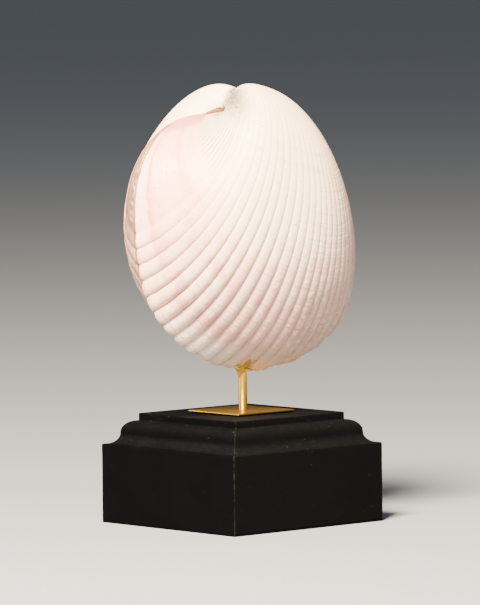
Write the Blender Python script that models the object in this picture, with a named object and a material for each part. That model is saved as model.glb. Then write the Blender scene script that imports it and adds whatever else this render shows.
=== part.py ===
"""Giant heart cockle: a paired shell on a brass rod over a black moulded plinth.

The two valves meet on one upright plane, glued shut, with the ribs fused into them. Each valve
is grown by a rule: every growth line is the outline of the open side, turned about the hinge
and made smaller towards the beak. Metres, +Z up, origin in the middle of the plinth's underside.
The valves meet on a plane square to X, the right valve towards +X; the rear edge faces -Y.
"""
import math

import bmesh
import bpy
import numpy as np

MM = 0.001

# Room left between pieces that touch
TOUCH = 0.3 * MM

# Where the hinge point between the beaks stands, and how the shell leans
HINGE = (3.0 * MM, -3.4 * MM, 186.2 * MM)
LEAN_DEG = 1.3

# The outline of the open side: distances from its centre, every twelfth of a turn, from the rear
# edge over the hinge to the front edge and the bottom
OUTLINE_CENTRE = (3.9 * MM, -55.3 * MM)
OUTLINE_RADII = tuple(r * MM for r in (58.9, 63.0, 60.7, 50.7, 47.9, 48.9,
                                        51.9, 67.7, 67.9, 61.3, 58.3, 58.9))

# Growth: shrink rate towards the beak, how it changes round the outline, and the late stage in
# which the margin grows straight outwards
SHRINK_RATE = 0.957
SHRINK_REAR = -0.085
SHRINK_TOP = 0.099
SHRINK_ENDS = -0.038
HINGE_AXIS_DEG = 12.0
UPRIGHT_EVEN = 2.83
UPRIGHT_REAR = -2.36
UPRIGHT_TOP = 2.45
UPRIGHT_REACH = 0.288
BEAK_TURN = math.pi

# Ribs: the first furrow's place, the spacing along the outline and the depth
FIRST_FURROW_DEG = 2.3
LAST_FURROW_DEG = -205.0
RIB_FLOOR_DEG = 4.42
RIB_SWELL_DEG = 3.6
RIB_WIDEST_DEG = -56.0
RIB_REAR_SPREAD_DEG = 90.0
RIB_FRONT_SPREAD_DEG = 37.5
FURROW_DEPTH = 1.2 * MM
FURROW_HALF_SHARE = 0.24
SHOULDER_SINK = 0.1
RELIEF_SPAN = 0.9
RELIEF_GONE_TURN = 1.75
RELIEF_REAR_LOSS = 0.95
RELIEF_REAR_DEG = (-48.0, 6.0)

# Wall and hollow
WALL = 4.6 * MM
HOLLOW_DEPTH = 41.0 * MM
HOLLOW_TOP = (2.0 * MM, -50.0 * MM)
HOLLOW_STEPS = 5
HOLLOW_FALL = 1.6
HOLLOW_SHOULDER = 0.78

# Mesh steps
TURN_STEPS = 16
TURN_CROWDING = 1.25
REAR_STEP_DEG = 7.5
HOLLOW_COLUMN_SHARE = 4

# Edges bent more than this are kept sharp
SHARP_DEG = 40.0
VALVE_SHARP_DEG = 50.0
STAND_SHARP_DEG = 20.0

# Stretches of the shell that are searched: its bottom over the rod, and the seam behind the beaks
BOTTOM_DEG = (-120.0, -60.0)
BOTTOM_TURNS = (0.0, 0.12)
BOTTOM_SAMPLES = (121, 25)
SEAM_DEG = (150.0, 20.0)
SEAM_SAMPLES = 131

# Stand
PLINTH_HALF = 45.0 * MM
BLOCK_TOP = 35.6 * MM
EDGE_CHAMFER = 0.5 * MM
COVE_CENTRE = (43.8 * MM, 40.6 * MM)
COVE_RADIUS = 4.8 * MM
ROUND_CENTRE = (33.6 * MM, 40.8 * MM)
ROUND_RADIUS = 5.4 * MM
ROUND_LEDGE = 0.1 * MM
CAP_HALF = 33.0 * MM
CAP_TOP = 49.6 * MM
CAP_CHAMFER = 0.4 * MM
ARC_STEPS = 7
PLATE_HALF = 17.2 * MM
PLATE_THICK = 1.1 * MM
PLATE_CHAMFER = 0.3 * MM
ROD_RADIUS = 2.0 * MM
ROD_SIDES = 32
ROD_SINK = 18.0 * MM
ROD_AT = (0.5 * MM, 0.6 * MM)

# Glue bead at the top of the rod, a collar that widens onto the shell: height against the rod's top,
# radius and shift towards the rear
BEAD_COLLAR = ((-4.6 * MM, 2.55 * MM, 0.1 * MM), (-3.2 * MM, 2.75 * MM, 0.2 * MM),
               (-1.8 * MM, 3.2 * MM, 0.5 * MM), (-0.6 * MM, 4.0 * MM, 0.8 * MM),
               (0.3 * MM, 4.5 * MM, 0.9 * MM), (1.2 * MM, 4.3 * MM, 0.9 * MM))
BEAD_SIDES = 24

# Dry ligament in the seam behind the beaks: where it runs, half its section, lift over the seam
LIGAMENT_FROM = 8.0 * MM
LIGAMENT_TO = 20.0 * MM
LIGAMENT_HALF = (1.2 * MM, 1.1 * MM)
LIGAMENT_LIFT = 1.9 * MM
LIGAMENT_STEPS = 10
LIGAMENT_SIDES = 8
LIGAMENT_BLUNT = 0.12


def clear_scene():
    for thing in list(bpy.data.objects):
        bpy.data.objects.remove(thing, do_unlink=True)


def paint(name, colour, rough, metal=0.0):
    mat = bpy.data.materials.new(name)
    mat.use_nodes = True
    shader = mat.node_tree.nodes["Principled BSDF"]
    shader.inputs["Base Color"].default_value = (*colour, 1.0)
    shader.inputs["Roughness"].default_value = rough
    shader.inputs["Metallic"].default_value = metal
    return mat


def add_object(name, mesh, mat):
    thing = bpy.data.objects.new(name, mesh)
    bpy.context.scene.collection.objects.link(thing)
    mesh.materials.append(mat)
    return thing


def mesh_from(name, verts, faces, sharp_deg=SHARP_DEG):
    mesh = bpy.data.meshes.new(name)
    mesh.from_pydata([tuple(v) for v in verts], [], faces)
    mesh.validate()
    bm = bmesh.new()
    bm.from_mesh(mesh)
    bmesh.ops.recalc_face_normals(bm, faces=bm.faces)
    bm.to_mesh(mesh)
    bm.free()
    mesh.shade_smooth()
    mesh.set_sharp_from_angle(angle=math.radians(sharp_deg))
    return mesh


def lofted(name, rings, sharp_deg=SHARP_DEG):
    """A closed body through rings of points, with both ends capped."""
    count = len(rings[0])
    verts = [point for one in rings for point in one]
    faces = [tuple(range(count))]
    for level in range(len(rings) - 1):
        for side in range(count):
            a, b = level * count + side, level * count + (side + 1) % count
            faces.append((a, b, b + count, a + count))
    last = (len(rings) - 1) * count
    faces.append(tuple(range(last, last + count)))
    return mesh_from(name, verts, faces, sharp_deg)


# Outline and growth

def outline_radius(angle):
    """Periodic smooth curve through the twelve radii (a trigonometric sum over them)."""
    count = len(OUTLINE_RADII)
    knots = 2.0 * math.pi * np.arange(count) / count
    radii = np.array(OUTLINE_RADII)
    angle = np.asarray(angle, dtype=float)
    total = np.full(angle.shape, radii.mean())
    for wave in range(1, count // 2 + 1):
        share = 1.0 if 2 * wave == count else 2.0
        along = share / count * float((radii * np.cos(wave * knots)).sum())
        across = share / count * float((radii * np.sin(wave * knots)).sum())
        total = total + along * np.cos(wave * angle) + across * np.sin(wave * angle)
    return total


def outline_point(angle, inset=0.0):
    radius = outline_radius(angle) - inset
    rear = OUTLINE_CENTRE[0] + radius * np.cos(angle)
    up = OUTLINE_CENTRE[1] + radius * np.sin(angle)
    return rear, up


def size_at(angle, turn):
    """How large the growth line at this turn is, against the margin."""
    rate = SHRINK_RATE + SHRINK_REAR * np.cos(angle) + SHRINK_TOP * np.sin(angle)
    rate = rate + SHRINK_ENDS * np.cos(2.0 * angle)
    upright = UPRIGHT_EVEN + UPRIGHT_REAR * np.cos(angle) + UPRIGHT_TOP * np.sin(angle)
    upright = 1.0 / (1.0 + np.exp(-upright))
    held = UPRIGHT_REACH * upright * (1.0 - np.exp(-turn / UPRIGHT_REACH))
    return np.exp(-rate * (turn - held))


def shell_point(angle, turn):
    """A point of the smooth valve: (rear, out, up) from the hinge point."""
    rear, up = outline_point(angle)
    tilt = math.radians(HINGE_AXIS_DEG)
    along = rear * math.cos(tilt) + up * math.sin(tilt)
    below = up * math.cos(tilt) - rear * math.sin(tilt)
    size = size_at(angle, turn)
    along = size * along
    height = size * below * np.cos(turn)
    out = -size * below * np.sin(turn)
    rear = along * math.cos(tilt) - height * math.sin(tilt)
    up = along * math.sin(tilt) + height * math.cos(tilt)
    return np.stack([rear, out, up], axis=-1)


def shell_normal(angle, turn):
    step = 1e-4
    turn = np.clip(turn, step, BEAK_TURN - step)
    round_it = shell_point(angle + step, turn) - shell_point(angle - step, turn)
    along_it = shell_point(angle, turn + step) - shell_point(angle, turn - step)
    normal = np.cross(round_it, along_it)
    return normal / np.linalg.norm(normal, axis=-1, keepdims=True)


# Ribs

def furrow_angles():
    """Angles of the furrows round the outline, from the rear slope forward."""
    angles = []
    angle = FIRST_FURROW_DEG
    while angle > LAST_FURROW_DEG:
        angles.append(math.radians(angle))
        spread = RIB_REAR_SPREAD_DEG if angle > RIB_WIDEST_DEG else RIB_FRONT_SPREAD_DEG
        swell = math.exp(-((angle - RIB_WIDEST_DEG) / spread) ** 2)
        angle -= RIB_FLOOR_DEG + RIB_SWELL_DEG * swell
    return angles


def ease(share):
    share = np.clip(share, 0.0, 1.0)
    return share * share * (3.0 - 2.0 * share)


def relief_fade(angle, turn):
    """The ribs are worn away towards the beak, sooner on the rear slope."""
    degrees = np.degrees(angle)
    low, high = RELIEF_REAR_DEG
    rear = ease((degrees - low) / (high - low))
    gone = RELIEF_GONE_TURN - RELIEF_REAR_LOSS * rear
    return ease((gone - turn) / RELIEF_SPAN)


def valve_columns():
    """Angles of the mesh columns, and how deep each lies in a furrow."""
    furrows = furrow_angles()
    columns = []
    for here, ahead in zip(furrows, furrows[1:]):
        width = ahead - here
        columns.append((here, 1.0))
        columns.append((here + FURROW_HALF_SHARE * width, SHOULDER_SINK))
        columns.append((ahead - FURROW_HALF_SHARE * width, SHOULDER_SINK))
    columns.append((furrows[-1], 1.0))
    start = furrows[-1]
    end = furrows[0] - 2.0 * math.pi
    steps = max(2, round(math.degrees(start - end) / REAR_STEP_DEG))
    for i in range(1, steps):
        columns.append((start + (end - start) * i / steps, 0.0))
    return columns


# Valves

def valve_verts_faces():
    columns = valve_columns()
    angles = np.array([c[0] for c in columns])
    depth = np.array([c[1] for c in columns])
    turns = BEAK_TURN * (np.arange(TURN_STEPS + 1) / TURN_STEPS) ** TURN_CROWDING
    count = len(angles)

    verts = []
    for turn in turns:
        here = shell_point(angles, np.full(count, turn))
        normal = shell_normal(angles, np.full(count, turn))
        size = size_at(angles, np.full(count, turn))
        sink = depth * FURROW_DEPTH * relief_fade(angles, turn) * size
        here = here - normal * sink[:, None]
        here[:, 1] = np.maximum(here[:, 1], TOUCH / 2.0)
        verts.extend(here)

    faces = []
    for row in range(TURN_STEPS):
        for col in range(count):
            nxt = (col + 1) % count
            a, b = row * count + col, row * count + nxt
            faces.append((a, b, b + count, a + count))
    top = TURN_STEPS * count
    faces.append(tuple(range(top, top + count)))

    # The hollow: a dome over the inner edge
    inner_cols = list(range(0, count, HOLLOW_COLUMN_SHARE))
    inner_angles = angles[inner_cols]
    edge_rear, edge_up = outline_point(inner_angles, WALL)
    base = len(verts)
    for step in range(HOLLOW_STEPS):
        spread = math.cos(0.5 * math.pi * step / HOLLOW_STEPS)
        rise = HOLLOW_DEPTH * (1.0 - spread ** HOLLOW_FALL) ** HOLLOW_SHOULDER
        rear = HOLLOW_TOP[0] + (edge_rear - HOLLOW_TOP[0]) * spread
        up = HOLLOW_TOP[1] + (edge_up - HOLLOW_TOP[1]) * spread
        out = np.full(len(inner_cols), TOUCH / 2.0 + rise)
        verts.extend(np.stack([rear, out, up], axis=-1))
    verts.append(np.array([HOLLOW_TOP[0], TOUCH / 2.0 + HOLLOW_DEPTH, HOLLOW_TOP[1]]))
    apex = len(verts) - 1
    inner = len(inner_cols)
    for step in range(HOLLOW_STEPS - 1):
        for col in range(inner):
            nxt = (col + 1) % inner
            a, b = base + step * inner + col, base + step * inner + nxt
            faces.append((a, a + inner, b + inner, b))
    last = base + (HOLLOW_STEPS - 1) * inner
    for col in range(inner):
        faces.append((last + col, apex, last + (col + 1) % inner))

    # The flat edge of the wall, fanned from each inner point to its outer ones
    for col in range(inner):
        nxt = (col + 1) % inner
        first = inner_cols[col]
        stop = inner_cols[nxt] if nxt else count
        middle = (first + stop) // 2
        for outer in range(first, stop):
            pivot = base + (col if outer < middle else nxt)
            faces.append((outer, pivot, (outer + 1) % count))
        faces.append((middle % count, base + col, base + nxt))
    return verts, faces


def set_on_hinge(thing):
    thing.location = HINGE
    thing.rotation_euler = (0.0, -math.radians(LEAN_DEG), 0.0)


def make_valve(name, side, mat):
    verts, faces = valve_verts_faces()
    verts = [(side * v[1], -v[0], v[2]) for v in verts]
    mesh = mesh_from(name, verts, faces, VALVE_SHARP_DEG)
    valve = add_object(name, mesh, mat)
    set_on_hinge(valve)
    return valve


# Stand

def square_ring(half, height, chamfer):
    """Eight corners of a square outline with its corners cut."""
    near = half - chamfer
    corners = [(half, -near), (half, near), (near, half), (-near, half),
               (-half, near), (-half, -near), (-near, -half), (near, -half)]
    return [(x, y, height) for x, y in corners]


def square_block(name, profile, chamfer):
    rings = [square_ring(half, height, chamfer) for half, height in profile]
    return lofted(name, rings, STAND_SHARP_DEG)


def plinth_profile():
    """Half width and height of the block, the cove, the round and the cap."""
    profile = [(PLINTH_HALF, 0.0), (PLINTH_HALF, BLOCK_TOP)]
    for i in range(ARC_STEPS + 1):
        turn = 0.5 * math.pi * i / ARC_STEPS
        profile.append((COVE_CENTRE[0] - COVE_RADIUS * math.sin(turn),
                        COVE_CENTRE[1] - COVE_RADIUS * math.cos(turn)))
    for i in range(ARC_STEPS + 1):
        turn = 0.5 * math.pi * i / ARC_STEPS
        profile.append((ROUND_CENTRE[0] + ROUND_RADIUS * math.cos(turn),
                        ROUND_CENTRE[1] + ROUND_RADIUS * math.sin(turn)))
    profile.append((CAP_HALF, ROUND_CENTRE[1] + ROUND_RADIUS + ROUND_LEDGE))
    profile.append((CAP_HALF, CAP_TOP - CAP_CHAMFER))
    profile.append((CAP_HALF - CAP_CHAMFER, CAP_TOP))
    return profile


def upright_cylinder(name, radius, low, high):
    bpy.ops.mesh.primitive_cylinder_add(vertices=ROD_SIDES, radius=radius, depth=high - low,
                                        location=(*ROD_AT, 0.5 * (low + high)))
    cylinder = bpy.context.object
    cylinder.name = name
    return cylinder


def as_cutter(thing):
    thing.hide_render = True
    thing.display_type = "WIRE"
    return thing


def cut_with(thing, cutter):
    cut = thing.modifiers.new("Bore", "BOOLEAN")
    cut.operation = "DIFFERENCE"
    cut.object = cutter


def make_stand():
    wood = paint("black_painted_wood", (0.012, 0.011, 0.011), 0.55)
    brass = paint("old_brass", (0.62, 0.44, 0.16), 0.3, 1.0)

    plinth = add_object("plinth", square_block("plinth", plinth_profile(), EDGE_CHAMFER), wood)
    plate_low = CAP_TOP + TOUCH / 2.0
    plate_top = plate_low + PLATE_THICK
    plate_profile = [(PLATE_HALF, plate_low), (PLATE_HALF, plate_top - PLATE_CHAMFER),
                     (PLATE_HALF - PLATE_CHAMFER, plate_top)]
    plate = add_object("brass_plate", square_block("brass_plate", plate_profile, PLATE_CHAMFER), brass)

    rod_low = CAP_TOP - ROD_SINK
    bore = upright_cylinder("rod_bore", ROD_RADIUS + TOUCH, rod_low - TOUCH, plate_top + ROD_SINK)
    as_cutter(bore)
    cut_with(plinth, bore)
    cut_with(plate, bore)
    return brass, rod_low


def make_rod(brass, low, high):
    rod = upright_cylinder("brass_rod", ROD_RADIUS, low, high)
    rod.data.materials.append(brass)
    rod.data.shade_smooth()
    rod.data.set_sharp_from_angle(angle=math.radians(SHARP_DEG))


# Glue and ligament

def shell_bottom():
    """The lowest point of the smooth shell over the rod, in world height."""
    angles = np.radians(np.linspace(*BOTTOM_DEG, BOTTOM_SAMPLES[0]))
    lean = math.radians(LEAN_DEG)
    lowest = 0.0
    for side in (-1.0, 1.0):
        for turn in np.linspace(*BOTTOM_TURNS, BOTTOM_SAMPLES[1]):
            point = shell_point(angles, np.full(len(angles), turn))
            across = HINGE[0] + side * point[:, 1] * math.cos(lean) - point[:, 2] * math.sin(lean)
            along = HINGE[1] - point[:, 0]
            height = point[:, 2] * math.cos(lean) + side * point[:, 1] * math.sin(lean)
            near = np.hypot(across - ROD_AT[0], along - ROD_AT[1]) < ROD_RADIUS + TOUCH
            if near.any():
                lowest = min(lowest, float(height[near].min()))
    return HINGE[2] + lowest


def make_bead(valves, rod_top):
    glue = paint("amber_glue", (0.55, 0.36, 0.10), 0.25)
    rings = []
    for height, radius, shift in BEAD_COLLAR:
        turns = [2.0 * math.pi * k / BEAD_SIDES for k in range(BEAD_SIDES)]
        rings.append([(ROD_AT[0] + radius * math.cos(turn),
                       ROD_AT[1] - shift + radius * math.sin(turn), rod_top + height)
                      for turn in turns])
    bead = add_object("glue_bead", lofted("glue_bead", rings), glue)

    rod_room = upright_cylinder("rod_room", ROD_RADIUS + TOUCH, rod_top - ROD_SINK, rod_top + TOUCH)
    cut_with(bead, as_cutter(rod_room))
    for valve in valves:
        grown = valve.copy()
        grown.data = valve.data.copy()
        grown.name = valve.name + "_room"
        bpy.context.scene.collection.objects.link(grown)
        swell = grown.modifiers.new("Room", "DISPLACE")
        swell.strength = TOUCH
        swell.mid_level = 0.0
        cut_with(bead, as_cutter(grown))


def make_ligament():
    brown = paint("dry_ligament", (0.16, 0.075, 0.03), 0.8)
    seam_rear, seam_up = outline_point(np.radians(np.linspace(*SEAM_DEG, SEAM_SAMPLES)))
    rings = []
    for i in range(LIGAMENT_STEPS + 1):
        share = i / LIGAMENT_STEPS
        rear = LIGAMENT_FROM + (LIGAMENT_TO - LIGAMENT_FROM) * share
        taper = max(LIGAMENT_BLUNT, math.sqrt(1.0 - (2.0 * share - 1.0) ** 2))
        middle = float(np.interp(rear, seam_rear, seam_up)) + LIGAMENT_LIFT
        turns = [2.0 * math.pi * k / LIGAMENT_SIDES for k in range(LIGAMENT_SIDES)]
        rings.append([(LIGAMENT_HALF[0] * taper * math.cos(turn), -rear,
                       middle + LIGAMENT_HALF[1] * taper * math.sin(turn)) for turn in turns])
    ligament = add_object("ligament", lofted("ligament", rings), brown)
    set_on_hinge(ligament)


def main():
    clear_scene()
    shell = paint("cockle_shell", (0.86, 0.78, 0.72), 0.5)
    right = make_valve("right_valve", 1.0, shell)
    left = make_valve("left_valve", -1.0, shell)
    make_ligament()
    brass, rod_low = make_stand()
    rod_top = shell_bottom() - TOUCH
    make_rod(brass, rod_low, rod_top)
    make_bead((right, left), rod_top)


main()
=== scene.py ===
"""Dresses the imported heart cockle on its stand.

The two valves are grown in Geometry Nodes by the rule that the solids follow, with finer ribs and
growth lines. The thread of glue in the seam follows the same outline. Metres, +Z up, the right
valve towards +X and the shell's rear edge towards -Y.
"""

import math
from types import SimpleNamespace

import bpy
import numpy as np
from mathutils import Euler, Matrix, Vector, noise
from mathutils.bvhtree import BVHTree


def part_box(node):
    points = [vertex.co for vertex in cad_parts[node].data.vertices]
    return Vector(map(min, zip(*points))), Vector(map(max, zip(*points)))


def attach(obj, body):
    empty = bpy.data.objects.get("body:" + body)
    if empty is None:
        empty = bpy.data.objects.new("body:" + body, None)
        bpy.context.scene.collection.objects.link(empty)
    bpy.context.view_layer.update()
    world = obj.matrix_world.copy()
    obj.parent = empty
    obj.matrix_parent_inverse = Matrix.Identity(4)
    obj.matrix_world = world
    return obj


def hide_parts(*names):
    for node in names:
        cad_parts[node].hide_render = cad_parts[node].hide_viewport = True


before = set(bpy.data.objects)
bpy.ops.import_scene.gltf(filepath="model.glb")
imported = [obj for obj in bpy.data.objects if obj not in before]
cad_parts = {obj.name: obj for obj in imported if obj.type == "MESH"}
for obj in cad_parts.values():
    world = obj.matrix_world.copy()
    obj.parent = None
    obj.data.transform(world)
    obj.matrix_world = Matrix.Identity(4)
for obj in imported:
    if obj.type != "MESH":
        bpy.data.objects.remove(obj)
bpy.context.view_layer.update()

MM = 0.001
DEGREES = 180.0 / math.pi
WELD = 0.002 * MM

# Where the shell stands
HINGE = (3.0 * MM, -3.4 * MM, 186.2 * MM)
LEAN = Euler((0.0, -math.radians(1.3), 0.0))

# Outline of the open side, as distances from its centre every twelfth of a turn
OUTLINE_CENTRE = (3.9 * MM, -55.3 * MM)
OUTLINE_RADII = [r * MM for r in (58.9, 63.0, 60.7, 50.7, 47.9, 48.9,
                                  51.9, 67.7, 67.9, 61.3, 58.3, 58.9)]

# Growth rule
GROWTH = {
    "Hinge axis tilt": math.radians(12.0),
    "Shrink rate": 0.957,
    "Shrink rear": -0.085,
    "Shrink top": 0.099,
    "Shrink ends": -0.038,
    "Upright even": 2.83,
    "Upright rear": -2.36,
    "Upright top": 2.45,
    "Upright reach": 0.288,
    "Beak turn": math.pi,
}

# Furrows round the outline, in degrees from the rear edge
FIRST_FURROW = 2.3
LAST_FURROW = -205.0
RIB_FLOOR = 4.42
RIB_SWELL = 3.6
RIB_WIDEST = -56.0
RIB_SPREADS = (90.0, 37.5)
COLUMNS_PER_RIB = 10
REAR_STEP = 2.6

# Stand
PLINTH_HALF = 45.0 * MM
BLOCK_TOP = 35.6 * MM
COVE_CENTRE = (43.8 * MM, 40.6 * MM)
COVE_RADIUS = 4.8 * MM
ROUND_CENTRE = (33.6 * MM, 40.8 * MM)
ROUND_RADIUS = 5.4 * MM
CAP_HALF = 33.0 * MM
CAP_TOP = 49.6 * MM
ROD_AT = (0.5 * MM, 0.6 * MM)
ROD_RADIUS = 2.0 * MM


# Formulas over nodes

def operator(name, swapped=False):
    """A method that puts this maths node between a field and another value."""
    if swapped:
        return lambda self, other: self.kit.math(name, other, self)
    return lambda self, other: self.kit.math(name, self, other)


class Field:
    """One output of a node, so that a formula can be written over nodes."""

    def __init__(self, kit, socket):
        self.kit = kit
        self.socket = socket

    __add__, __radd__ = operator("ADD"), operator("ADD", True)
    __sub__, __rsub__ = operator("SUBTRACT"), operator("SUBTRACT", True)
    __mul__, __rmul__ = operator("MULTIPLY"), operator("MULTIPLY", True)
    __truediv__, __rtruediv__ = operator("DIVIDE"), operator("DIVIDE", True)
    __pow__, __mod__ = operator("POWER"), operator("MODULO")
    __gt__, __lt__ = operator("GREATER_THAN"), operator("LESS_THAN")
    at_least, at_most = operator("MAXIMUM"), operator("MINIMUM")

    def __neg__(self):
        return self * -1.0

    def __abs__(self):
        return self.kit.math("ABSOLUTE", self)

    def span(self, low, high, to_low=0.0, to_high=1.0):
        """Eases from to_low at the value low to to_high at the value high, held at both ends."""
        return self.kit.run("ShaderNodeMapRange",
                            {"Value": self, "From Min": low, "From Max": high, "To Min": to_low,
                             "To Max": to_high}, interpolation_type="SMOOTHSTEP", clamp=True)

    def within(self, rises, risen, falls, fallen):
        """1 between the middle two values, eased to 0 at the outer two."""
        return self.span(rises, risen) * self.span(fallen, falls)

    def pulse(self, middle, half):
        """1 at the middle value, eased to 0 at half the width to either side."""
        return abs(self - middle).span(half, 0.0)


class Kit:
    """Puts nodes into one tree."""

    def __init__(self, tree):
        self.tree = tree

    def add(self, kind, feeds=(), **settings):
        """A new node with its settings made and its inputs fed, by name or by number."""
        node = self.tree.nodes.new(kind)
        for key, value in settings.items():
            setattr(node, key, value)
        for key, value in dict(feeds).items():
            if isinstance(key, str):
                socket = next(s for s in node.inputs if s.name == key and s.enabled)
            else:
                socket = node.inputs[key]
            self.feed(socket, value)
        return node

    def feed(self, socket, value):
        if isinstance(value, Field):
            self.tree.links.new(value.socket, socket)
        else:
            socket.default_value = value

    def out(self, node, name=None):
        """The first output of a node, or the one of this name."""
        return Field(self, next(s for s in node.outputs if s.enabled and name in (None, s.name)))

    def run(self, kind, feeds=(), **settings):
        """The first output of a new node."""
        return self.out(self.add(kind, feeds, **settings))

    def math(self, operation, *values):
        return self.run("ShaderNodeMath", enumerate(values), operation=operation)

    def vector(self, operation, *values):
        node = self.add("ShaderNodeVectorMath", operation=operation)
        for value, socket in zip(values, [s for s in node.inputs if s.enabled]):
            self.feed(socket, value)
        return self.out(node)

    def combine(self, x, y, z):
        return self.run("ShaderNodeCombineXYZ", {"X": x, "Y": y, "Z": z})

    def separate(self, vector):
        node = self.add("ShaderNodeSeparateXYZ", {"Vector": vector})
        return [Field(self, socket) for socket in node.outputs]

    def noise(self, vector, scale, detail=2.0, roughness=0.5):
        """Smooth noise from 0 to 1."""
        return self.run("ShaderNodeTexNoise", {"Vector": vector, "Scale": scale, "Detail": detail,
                                               "Roughness": roughness})


class GeometryKit(Kit):
    """Puts nodes into a Geometry Nodes tree, whose sizes are named inputs."""

    def __init__(self, name):
        super().__init__(bpy.data.node_groups.new(name, "GeometryNodeTree"))
        sockets = self.tree.interface
        sockets.new_socket(name="Geometry", in_out="INPUT", socket_type="NodeSocketGeometry")
        sockets.new_socket(name="Geometry", in_out="OUTPUT", socket_type="NodeSocketGeometry")
        self.entry = self.tree.nodes.new("NodeGroupInput")
        self.source = Field(self, self.entry.outputs[0])
        self.spot = self.run("GeometryNodeInputPosition")
        self.asked = {}

    def ask(self, name, kind):
        item = self.tree.interface.new_socket(name=name, in_out="INPUT",
                                              socket_type="NodeSocket" + kind)
        self.asked[name] = item.identifier
        return Field(self, self.entry.outputs[len(self.asked)])

    def ask_all(self, sizes):
        """A named input for each size, of the kind that its value has."""
        kinds = {int: "Int", float: "Float", tuple: "Vector", Euler: "Rotation",
                 bpy.types.Material: "Material"}
        return SimpleNamespace(**{name.lower().replace(" ", "_"): self.ask(name, kinds[type(value)])
                                  for name, value in sizes.items()})

    def named(self, name, kind="FLOAT"):
        return self.out(self.add("GeometryNodeInputNamedAttribute", {"Name": name},
                                 data_type=kind), "Attribute")

    def store(self, geometry, name, value):
        return self.run("GeometryNodeStoreNamedAttribute",
                        {"Geometry": geometry, "Name": name, "Value": value})

    def sample(self, geometry, value, index, kind="FLOAT"):
        return self.run("GeometryNodeSampleIndex",
                        {"Geometry": geometry, "Value": value, "Index": index}, data_type=kind)

    def place(self, geometry, position):
        return self.run("GeometryNodeSetPosition", {"Geometry": geometry, "Position": position})

    def choose(self, test, if_false, if_true):
        return self.run("GeometryNodeSwitch",
                        {"Switch": test, "False": if_false, "True": if_true}, input_type="VECTOR")

    def flip(self, mesh, where):
        return self.run("GeometryNodeFlipFaces", {"Mesh": mesh, "Selection": where})

    def turned(self, point, axis, angle, centre=(0.0, 0.0, 0.0)):
        return self.run("ShaderNodeVectorRotate",
                        {"Vector": point, "Center": centre, "Axis": axis, "Angle": angle},
                        rotation_type="AXIS_ANGLE")

    def grid(self, columns, rows):
        """A unit grid, with each point's column and row counted from 0."""
        mesh = self.run("GeometryNodeMeshGrid", {"Size X": 1.0, "Size Y": 1.0,
                                                 "Vertices X": columns + 1, "Vertices Y": rows + 1})
        x, y, _ = self.separate(self.spot)
        column = self.math("ROUND", (x + 0.5) * columns)
        row = self.math("ROUND", (y + 0.5) * rows)
        return mesh, column, row

    def finish(self, geometry, given):
        """Ends the tree: smooth, set in its place, instances made real and the finish put on."""
        smooth = self.run("GeometryNodeSetShadeSmooth", {"Geometry": geometry})
        placed = self.run("GeometryNodeTransform", {"Geometry": smooth, "Translation": given.place,
                                                    "Rotation": given.lean})
        real = self.run("GeometryNodeRealizeInstances", {"Geometry": placed})
        done = self.add("GeometryNodeSetMaterial", {"Geometry": real, "Material": given.finish})
        end = self.tree.nodes.new("NodeGroupOutput")
        self.tree.links.new(done.outputs[0], end.inputs[0])


class FinishKit(Kit):
    """Puts nodes into a material."""

    def __init__(self, name):
        self.material = bpy.data.materials.new(name)
        self.material.use_nodes = True
        super().__init__(self.material.node_tree)
        self.shader = self.tree.nodes["Principled BSDF"]
        self.here = self.out(self.add("ShaderNodeTexCoord"), "Object")
        self.colour = None

    def feed(self, socket, value):
        """Feeds an input, and makes a plain colour a whole one."""
        if socket.type == "RGBA" and isinstance(value, tuple):
            value = (*value, 1.0)
        super().feed(socket, value)

    def grain(self, scale, detail=2.0, roughness=0.5):
        """Smooth noise from 0 to 1 over the piece."""
        return self.noise(self.here, scale, detail, roughness)

    def away_from(self, *point):
        """The distance from a point that is given in millimetres."""
        point = tuple(value * MM for value in point)
        return self.out(self.add("ShaderNodeVectorMath", {0: self.here, 1: point},
                                 operation="DISTANCE"), "Value")

    def trait(self, name):
        """A value that Geometry Nodes stored on the piece."""
        return self.out(self.add("ShaderNodeAttribute", attribute_name=name), "Fac")

    def mix(self, share, first, second):
        """A colour between two."""
        return self.run("ShaderNodeMix", {0: share, 6: first, 7: second}, data_type="RGBA")

    def cover(self, share, tone):
        """Lays a tone over the colour so far."""
        self.colour = self.mix(share, self.colour, tone)

    def stretch(self, x, y, z):
        """Object coordinates with each direction scaled, for grain and strokes."""
        return self.vector("MULTIPLY", self.here, (x, y, z))

    def bump(self, height, distance, strength=1.0):
        return self.run("ShaderNodeBump", {"Height": height, "Distance": distance,
                                           "Strength": strength})

    def paint(self, roughness, normal=None, **constants):
        """Feeds the shader the colour so far and the rest, and gives back the material."""
        feeds = {"Base Color": self.colour, "Roughness": roughness, "Normal": normal}
        feeds.update({key.replace("_", " "): value for key, value in constants.items()})
        for key, value in feeds.items():
            if value is not None:
                self.feed(self.shader.inputs[key], value)
        return self.material


# The open side's outline

def outline_radius(angle):
    """Periodic smooth curve through the twelve radii (a trigonometric sum over them)."""
    count = len(OUTLINE_RADII)
    knots = 2.0 * math.pi * np.arange(count) / count
    radii = np.array(OUTLINE_RADII)
    total = np.full(np.shape(angle), radii.mean())
    for wave in range(1, count // 2 + 1):
        share = 1.0 if 2 * wave == count else 2.0
        total = total + share / count * (
            float((radii * np.cos(wave * knots)).sum()) * np.cos(wave * angle)
            + float((radii * np.sin(wave * knots)).sum()) * np.sin(wave * angle))
    return total


def outline_points(angles, inset=0.0):
    """Points of the outline on the plane between the valves, from the hinge point."""
    radius = outline_radius(angles) - inset
    rear = OUTLINE_CENTRE[0] + radius * np.cos(angles)
    up = OUTLINE_CENTRE[1] + radius * np.sin(angles)
    return np.stack([np.zeros(len(angles)), -rear, up], axis=-1)


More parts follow.
